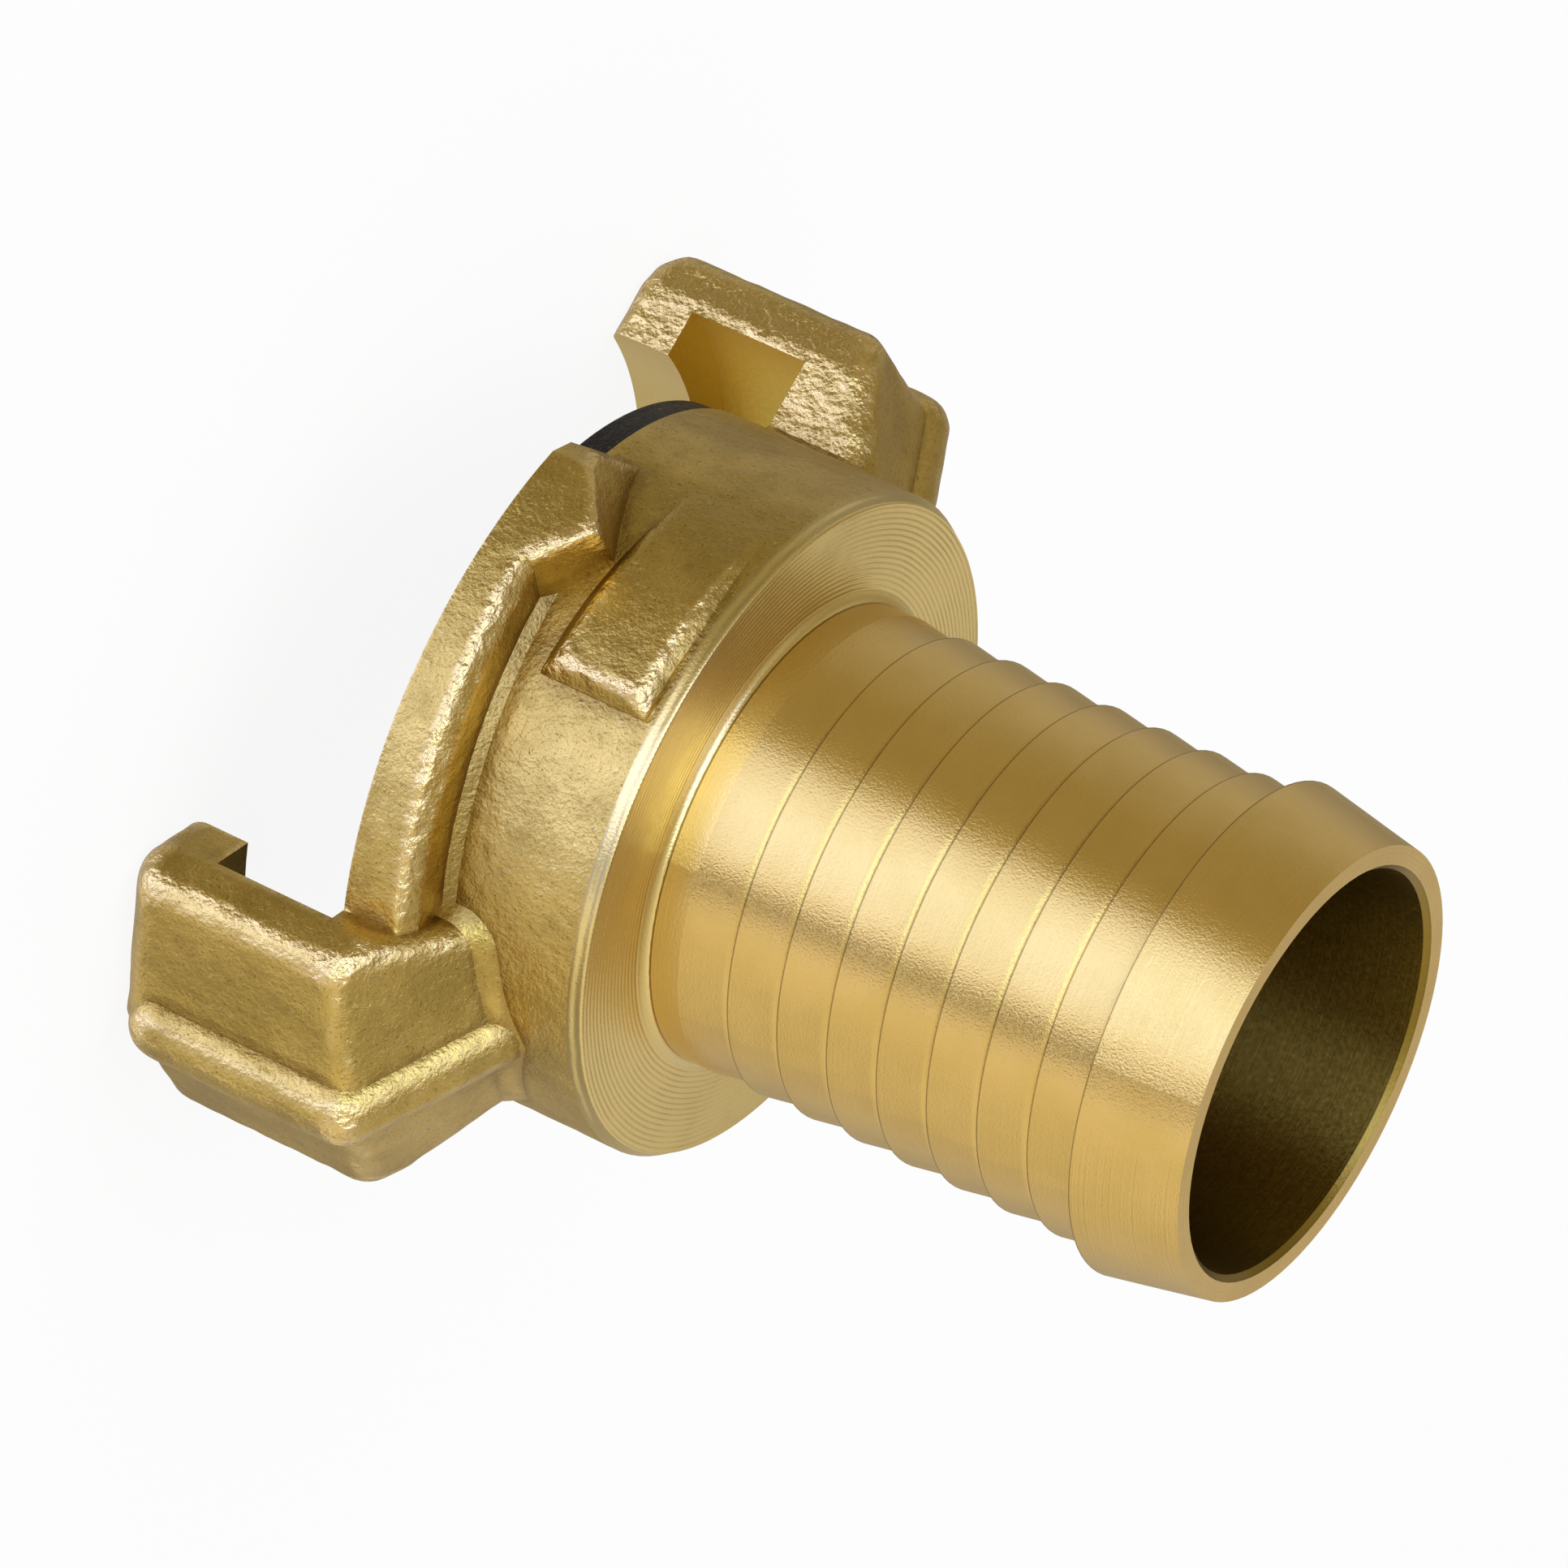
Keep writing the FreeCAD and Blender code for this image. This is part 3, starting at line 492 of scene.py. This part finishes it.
def turned_brass():
    """Turned brass: rings on the collar, barbs that run out hollow and start with a painted shade line, and a painted
    reflection that makes the collar and the land below the barbs paler.
    """
    dark, light = (0.66, 0.435, 0.122), (0.70, 0.462, 0.138)
    # of these colours, the pale one is a painted reflection and the darkest one paints shade lines
    pit, painted_reflection, painted_shade_dark = (0.40, 0.25, 0.06), (0.78, 0.58, 0.21), (0.13, 0.075, 0.018)
    m = Material("brass_turned")
    place = m.place()
    r, z = m.cylinder(place)
    cloud = m.noise(place, 0.25, 3)
    spots = m.noise(place, 7.5, 2)
    wobble = m.math("MULTIPLY", m.noise(place, 0.35, 2, 0.55), 0.10)
    fine = m.lines(m.math("ADD", m.math("ADD", r, z), m.math("MULTIPLY", wobble, 0.2)), 9.0, 2, 0.6)
    # where a point is on the collar, on the land below the barbs, on the barbs and on the end barb
    on_collar = m.math("SUBTRACT", 1.0, m.math("GREATER_THAN", z, COLLAR_MM + 0.05))
    below_barbs = m.math("LESS_THAN", z, BARBS_MM)
    on_barbs = m.math("MULTIPLY", m.math("LESS_THAN", z, BARBS_END_MM), m.math("GREATER_THAN", z, BARBS_MM))
    on_end = m.math("GREATER_THAN", z, BARBS_END_MM + 0.1)
    barb = m.math("FRACT", m.math("DIVIDE", m.math("SUBTRACT", z, BARBS_MM), BARB_PITCH_MM))
    # painted shade: dark lines at the start of every barb but the first, where the step lies in shadow, and along the
    # root's round corner
    line = m.math("MULTIPLY", m.range(barb, 0.030, 0.014), m.math("LESS_THAN", z, BARBS_END_MM + 0.3))
    line = m.math("MULTIPLY", line, m.math("GREATER_THAN", z, BARBS_MM + 0.5))
    root = m.math("MULTIPLY", m.range(z, ROOT_SHADE_LINE_MM, ROOT_SHADE_LINE_MM + 0.06),
                  m.range(z, ROOT_SHADE_LINE_MM + 0.16, ROOT_SHADE_LINE_MM + 0.10))
    line = m.math("MAXIMUM", m.math("MULTIPLY", line, 0.62), m.math("MULTIPLY", root, 0.75))
    colour = m.mix(m.range(cloud, 0.35, 0.65), dark, light)
    colour = m.tint(colour, m.range(spots, 0.62, 0.8), 0.30, pit)
    # painted reflection: the collar and the land below the barbs are made paler
    colour = m.tint(colour, below_barbs, 0.8, painted_reflection)
    colour = m.mix(line, colour, painted_shade_dark)
    # heights in mm: the collar's rings, the hollow ends of the ramps and the fine grooves
    ring = m.math("SINE", m.math("MULTIPLY", m.math("ADD", r, wobble), 2 * math.pi / RING_MM))
    ring = m.math("MULTIPLY", m.math("MULTIPLY", ring, on_collar), m.range(cloud, 0.3, 0.7, 0.006, 0.018))
    run = m.math("MAXIMUM", m.math("SUBTRACT", barb, 1 - HOLLOW_MM / BARB_PITCH_MM), 0.0)
    run = m.math("MULTIPLY", run, BARB_PITCH_MM)
    hollow = m.math("MULTIPLY", m.math("MULTIPLY", run, run), -0.5 * HOLLOW_SLOPE / HOLLOW_MM)
    hollow = m.math("MULTIPLY", hollow, on_barbs)
    groove = m.math("MULTIPLY", fine, m.math("MULTIPLY_ADD", on_end, 0.008, 0.0035))
    normal = m.bump(m.math("ADD", ring, m.math("ADD", hollow, groove)), MM)
    normal = m.bump(spots, 0.021 * MM, 0.8, normal)
    m.turned(m.math("MULTIPLY_ADD", on_collar, 0.05, m.range(fine, 0.3, 0.7, 0.225, 0.265)), 0.86)
    m.set(Base_Color=colour, Normal=normal)
    return m.material


def bored_brass():
    """Brass bored out: darker all over as painted shade inside the bore, with fine rings and specks that carry painted
    glints.
    """
    # painted shade: the bore's tones are dark all over; the bright specks are painted glints
    dark, light, painted_glint = (0.27, 0.17, 0.025), (0.34, 0.215, 0.035), (0.62, 0.42, 0.13)
    m = Material("brass_bored")
    place = m.place()
    r, z = m.cylinder(place)
    spots = m.noise(place, 4.0, 3)
    fine = m.lines(m.math("ADD", r, z), 9.0, 2, 0.6)
    colour = m.mix(m.range(fine, 0.3, 0.7), dark, light)
    colour = m.tint(colour, m.range(spots, 0.62, 0.8), 0.4, painted_glint)
    normal = m.bump(spots, 0.02 * MM, 0.8, m.bump(fine, 0.004 * MM))
    m.turned(m.range(spots, 0.3, 0.7, 0.30, 0.36), 0.8)
    m.set(Base_Color=colour, Normal=normal)
    return m.material


def recess_brass():
    """The sawn recess behind the lips: plain and yellow."""
    dark, light = (0.72, 0.52, 0.095), (0.78, 0.57, 0.125)
    m = Material("brass_recess")
    spots = m.noise(m.place(), 4.0, 3)
    m.turned(m.range(spots, 0.3, 0.7, 0.30, 0.36), 0.6)
    m.set(Base_Color=m.mix(m.range(spots, 0.35, 0.7), dark, light), Normal=m.bump(spots, 0.01 * MM, 0.8))
    return m.material


def rubber():
    """Black rubber with a dull shine and a little dust."""
    black, dusty = (0.010, 0.006, 0.004), (0.13, 0.09, 0.055)
    m = Material("seal_rubber")
    place = m.place()
    r, z = m.cylinder(place)
    dust = m.noise(place, 2.2, 4, 0.7)
    fine = m.noise(place, 5.0, 3)
    streak = m.lines(m.math("MULTIPLY_ADD", dust, 0.25, m.math("ADD", r, z)), 5.0, 3, 0.7)
    dirt = m.math("MULTIPLY", m.range(dust, 0.48, 0.70), m.range(streak, 0.45, 0.65))
    normal = m.bump(fine, 0.10 * MM, 0.9, m.bump(streak, 0.03 * MM))
    m.set(Base_Color=m.mix(dirt, black, dusty), Roughness=m.range(dust, 0.3, 0.7, 0.24, 0.48),
          Specular_IOR_Level=0.14, Normal=normal)
    return m.material


# ---------------------------------------------------------------- the pieces
surface = skin("brass_body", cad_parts["coupling_body"])
turned = turned_brass()
for material in (forged_brass(), turned, bored_brass(), recess_brass(), turned):    # one for each kind of face
    surface.data.materials.append(material)
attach(surface, "root")
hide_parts("coupling_body")

fillet = root_fillet()
fillet.data.materials.append(turned)
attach(fillet, "root")

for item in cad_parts["seal_ring"].material_slots:
    item.material = rubber()

# ---------------------------------------------------------------- camera at the photograph's angle
CAMERA_PLACE = (0.2797, -0.4364, 0.2566)
CAMERA_FORWARD = (-0.4946, 0.7648, -0.4129)
CAMERA_RIGHT = (-0.5548, 0.0879, 0.8273)
CAMERA_LENS = 259.87
CAMERA_SENSOR = 36
CAMERA_CLIP = (0.01, 20)


def add_camera():
    """A camera that looks and leans as the photograph's did."""
    data = bpy.data.cameras.new("camera")
    data.sensor_width, data.lens = CAMERA_SENSOR, CAMERA_LENS
    data.clip_start, data.clip_end = CAMERA_CLIP
    camera = bpy.data.objects.new("camera", data)
    scene.collection.objects.link(camera)
    forward = Vector(CAMERA_FORWARD).normalized()
    right = Vector(CAMERA_RIGHT)
    right = (right - forward * right.dot(forward)).normalized()
    axes = Matrix((right, right.cross(forward), -forward)).transposed()
    camera.matrix_world = Matrix.Translation(CAMERA_PLACE) @ axes.to_4x4()
    scene.camera = camera


add_camera()

# ---------------------------------------------------------------- floor, world and lamp
# The studio as metal sees it: brightness by azimuth (degrees, in the frame of the part) on rings of several
# elevations. The bright, cooler part of each ring is a large window, and its post is the thin dark part beside it.
TOP_LEVEL = 2.2
RINGS = [
    (-58, [(-180, 0.66), (-100, 0.66), (-84, 1.2), (-76, 2.2), (-36, 2.2), (-28, 1.4), (20, 1.15), (62, 1.00),
           (90, 0.70), (180, 0.66)]),
    (-25, [(-180, 0.56), (-166, 0.52), (-152, 0.42), (-133, 0.33), (-109, 0.33), (-96, 0.36), (-88, 0.80),
           (-74, 1.15), (-67, 2.5), (-36, 2.6), (-30, 1.60), (-26.5, 1.20), (-26, 0.05), (-19.5, 0.05), (-19, 1.40),
           (0, 1.20), (10, 0.84), (20, 0.50), (60, 0.50), (79, 0.56), (95, 0.48), (150, 0.34), (180, 0.56)]),
    (-4, [(-180, 0.62), (-150, 0.52), (-128, 0.48), (-97, 0.46), (-90, 0.70), (-82, 1.7), (-58, 1.65), (-45, 1.40),
          (-27, 1.15), (-26, 0.03), (-19.5, 0.03), (-19, 0.98), (30, 1.02), (45, 0.96), (84, 0.78), (110, 0.58),
          (150, 0.38), (170, 0.54), (180, 0.62)]),
    (13, [(-180, 0.50), (-150, 0.48), (-97, 0.46), (-90, 0.60), (-82, 1.3), (-58, 1.3), (-45, 1.25), (-27, 1.10),
          (-26, 0.10), (-19.5, 0.10), (-19, 1.10), (40, 1.10), (84, 0.74), (110, 0.62), (145, 0.36), (180, 0.50)]),
    (27, [(-180, 0.36), (-150, 0.40), (-96, 0.40), (-90, 0.80), (-84, 3.6), (-36, 3.6), (-28, 2.2), (-22, 1.50),
          (-19, 1.00), (13, 0.95), (60, 0.82), (85, 0.78), (100, 0.74), (124, 0.82), (145, 0.42), (170, 0.36),
          (180, 0.36)]),
    (64, [(-180, 0.56), (-125, 0.66), (-114, 2.3), (-50, 2.3), (-42, 0.95), (0, 0.66), (58, 0.60), (140, 0.56),
          (180, 0.56)]),
    (86, [(-180, 0.60), (0, 0.60), (180, 0.60)]),
]
WINDOW_LEVEL = 1.2          # brighter parts have the window's tint
WINDOW_TINTS = {-58: (0.84, 1.0, 2.0), -25: (0.84, 1.0, 2.1), -4: (0.82, 0.98, 1.85), 13: (0.84, 1.0, 1.6),
                27: (0.84, 1.10, 1.6), 64: (0.82, 1.02, 2.2), 86: WHITE}
DARK_LEVEL = 0.5            # darker parts have the room's tint
DARK_TINT = (1.0, 0.90, 0.60)
SKY_LEVEL = 0.75            # even white light on the object
BACKDROP_LEVEL = 1.0        # white that the camera sees

FLOOR_HALF = 3
FLOOR_HEIGHT = -0.00002     # just under the claw tips
FLOOR_GREY = 0.86
FLOOR_GLOW = 0.90           # share of plain white in what the camera sees of it

MIDDLE = Vector((0, 0, 0.027))
SOFT_BOX = (-100, 62, 0.60)  # azimuth, elevation and distance from the object's middle
SOFT_BOX_SIDE = 0.50
SOFT_BOX_RADIANCE = 1.6


def ring_ramp(nodes, azimuth, levels, window_tint):
    """One ring of the studio as a colour ramp."""
    ramp = nodes.node("ShaderNodeValToRGB")
    nodes.put(ramp.inputs[0], azimuth)
    stops = ramp.color_ramp.elements
    for degrees, _ in levels[1:-1]:
        stops.new((degrees + 180) / 360)
    for stop, (_, level) in zip(stops, levels):
        tint = window_tint if level > WINDOW_LEVEL else DARK_TINT if level < DARK_LEVEL else WHITE
        stop.color = (*(level / TOP_LEVEL * channel for channel in tint), 1)
    return ramp.outputs["Color"]


def studio_colour(nodes):
    """The rings' colours, blended from ring to ring by the height of the direction."""
    split = nodes.node("ShaderNodeSeparateXYZ")
    nodes.put(split.inputs[0], nodes.node("ShaderNodeTexCoord").outputs["Generated"])
    x, y, z = split.outputs
    azimuth = nodes.math("MULTIPLY_ADD", nodes.math("ARCTAN2", y, x), 1 / (2 * math.pi), 0.5)
    colour = ring_ramp(nodes, azimuth, RINGS[0][1], WINDOW_TINTS[RINGS[0][0]])
    for (below, _), (elevation, levels) in zip(RINGS, RINGS[1:]):
        middle, half = (elevation + below) / 2, (elevation - below) / 4
        share = nodes.range(z, math.sin(math.radians(middle - half)), math.sin(math.radians(middle + half)))
        colour = nodes.mix(share, colour, ring_ramp(nodes, azimuth, levels, WINDOW_TINTS[elevation]))
    return colour


def add_world():
    """White for the camera, even white light for the object, and the studio for what metal mirrors."""
    scene.world = bpy.data.worlds.new("studio")
    scene.world.use_nodes = True
    scene.world.node_tree.nodes.clear()
    nodes = Nodes(scene.world.node_tree)

    def background(colour, strength):
        node = nodes.node("ShaderNodeBackground")
        nodes.put(node.inputs["Color"], colour)
        nodes.put(node.inputs["Strength"], strength)
        return node.outputs[0]

    def either(factor, low, high):
        node = nodes.node("ShaderNodeMixShader")
        for socket, value in zip(node.inputs, (factor, low, high)):
            nodes.put(socket, value)
        return node.outputs[0]

    path = nodes.node("ShaderNodeLightPath")
    seen = nodes.math("MAXIMUM", path.outputs["Is Camera Ray"], path.outputs["Is Transmission Ray"])
    plain = either(seen, background((*WHITE, 1), SKY_LEVEL), background((*WHITE, 1), BACKDROP_LEVEL))
    studio = background(studio_colour(nodes), TOP_LEVEL)
    output = nodes.node("ShaderNodeOutputWorld")
    nodes.put(output.inputs[0], either(path.outputs["Is Glossy Ray"], plain, studio))


def floor_paint():
    """Pale paint that keeps the shadow, and is nearly white to the camera."""
    m = Material("floor")
    m.set(Base_Color=(FLOOR_GREY, FLOOR_GREY, FLOOR_GREY, 1), Roughness=0.9)
    path = m.node("ShaderNodeLightPath")
    seen = m.math("MAXIMUM", path.outputs["Is Camera Ray"], path.outputs["Is Transmission Ray"])
    blend = m.node("ShaderNodeMixShader")
    m.put(blend.inputs[0], m.math("MULTIPLY", seen, FLOOR_GLOW))
    m.put(blend.inputs[1], m.shader.outputs[0])
    m.put(blend.inputs[2], m.node("ShaderNodeEmission").outputs[0])
    m.put(m.tree.nodes["Material Output"].inputs[0], blend.outputs[0])
    return m.material


def add_floor():
    """A white floor. Metal sees the studio in its place."""
    corners = ((-1, -1), (1, -1), (1, 1), (-1, 1))
    floor = add_piece("floor", [(x * FLOOR_HALF, y * FLOOR_HALF, 0) for x, y in corners], [(0, 1, 2, 3)])
    floor.data.materials.append(floor_paint())
    floor.location.z = FLOOR_HEIGHT
    floor.visible_glossy = False
    return floor


def add_soft_box():
    """A soft box that faces the object and lights the floor."""
    data = bpy.data.lights.new("soft_box", "AREA")
    data.shape = "RECTANGLE"
    data.size = data.size_y = SOFT_BOX_SIDE
    data.energy = SOFT_BOX_RADIANCE * math.pi * SOFT_BOX_SIDE * SOFT_BOX_SIDE
    lamp = bpy.data.objects.new("soft_box", data)
    azimuth, elevation = math.radians(SOFT_BOX[0]), math.radians(SOFT_BOX[1])
    level = math.cos(elevation)
    away = Vector((math.cos(azimuth) * level, math.sin(azimuth) * level, math.sin(elevation))) * SOFT_BOX[2]
    lamp.location = away + MIDDLE
    lamp.rotation_mode = "QUATERNION"
    lamp.rotation_quaternion = away.to_track_quat("Z", "Y")
    lamp.visible_camera = lamp.visible_glossy = False
    scene.collection.objects.link(lamp)


add_world()
floor = add_floor()
add_soft_box()

scene.view_settings.view_transform = "Standard"
